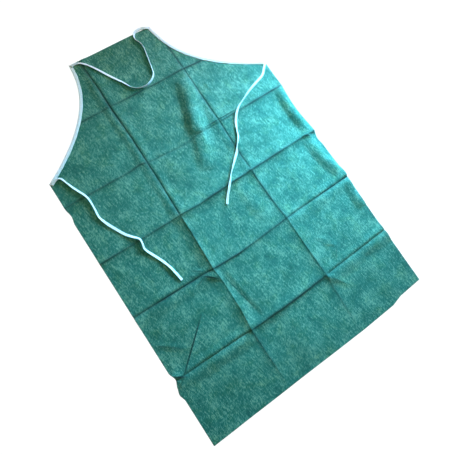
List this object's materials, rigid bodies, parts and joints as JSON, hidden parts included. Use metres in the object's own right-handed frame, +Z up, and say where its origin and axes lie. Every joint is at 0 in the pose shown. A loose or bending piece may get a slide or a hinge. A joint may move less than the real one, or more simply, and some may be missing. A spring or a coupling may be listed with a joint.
{
  "type": "disposable apron",
  "caption": "Disposable bib apron of green spunbond nonwoven laid out flat, with bound armholes, a tape neck strap and two loose waist ties.",
  "frame": {"origin": "on the ground under the middle of the laid-out apron's outline", "axes": "+Y from the hem towards the bib, along the apron; +X across it, towards the right of an apron seen from above with its bib up; +Z up, away from the surface that it lies on"},
  "size_m": [0.7573, 1.1207, 0.0139],
  "materials": {
    "green_nonwoven": "matte spunbond polypropylene nonwoven with a cloudy fibre pattern",
    "white_tape": "matte white nonwoven binding tape"
  },
  "bodies": {
    "root": {"apron_panel": "green_nonwoven", "binding_left": "white_tape", "binding_right": "white_tape", "neck_strap": "white_tape", "tie_left": "white_tape", "tie_right": "white_tape"}
  },
  "joints": []
}
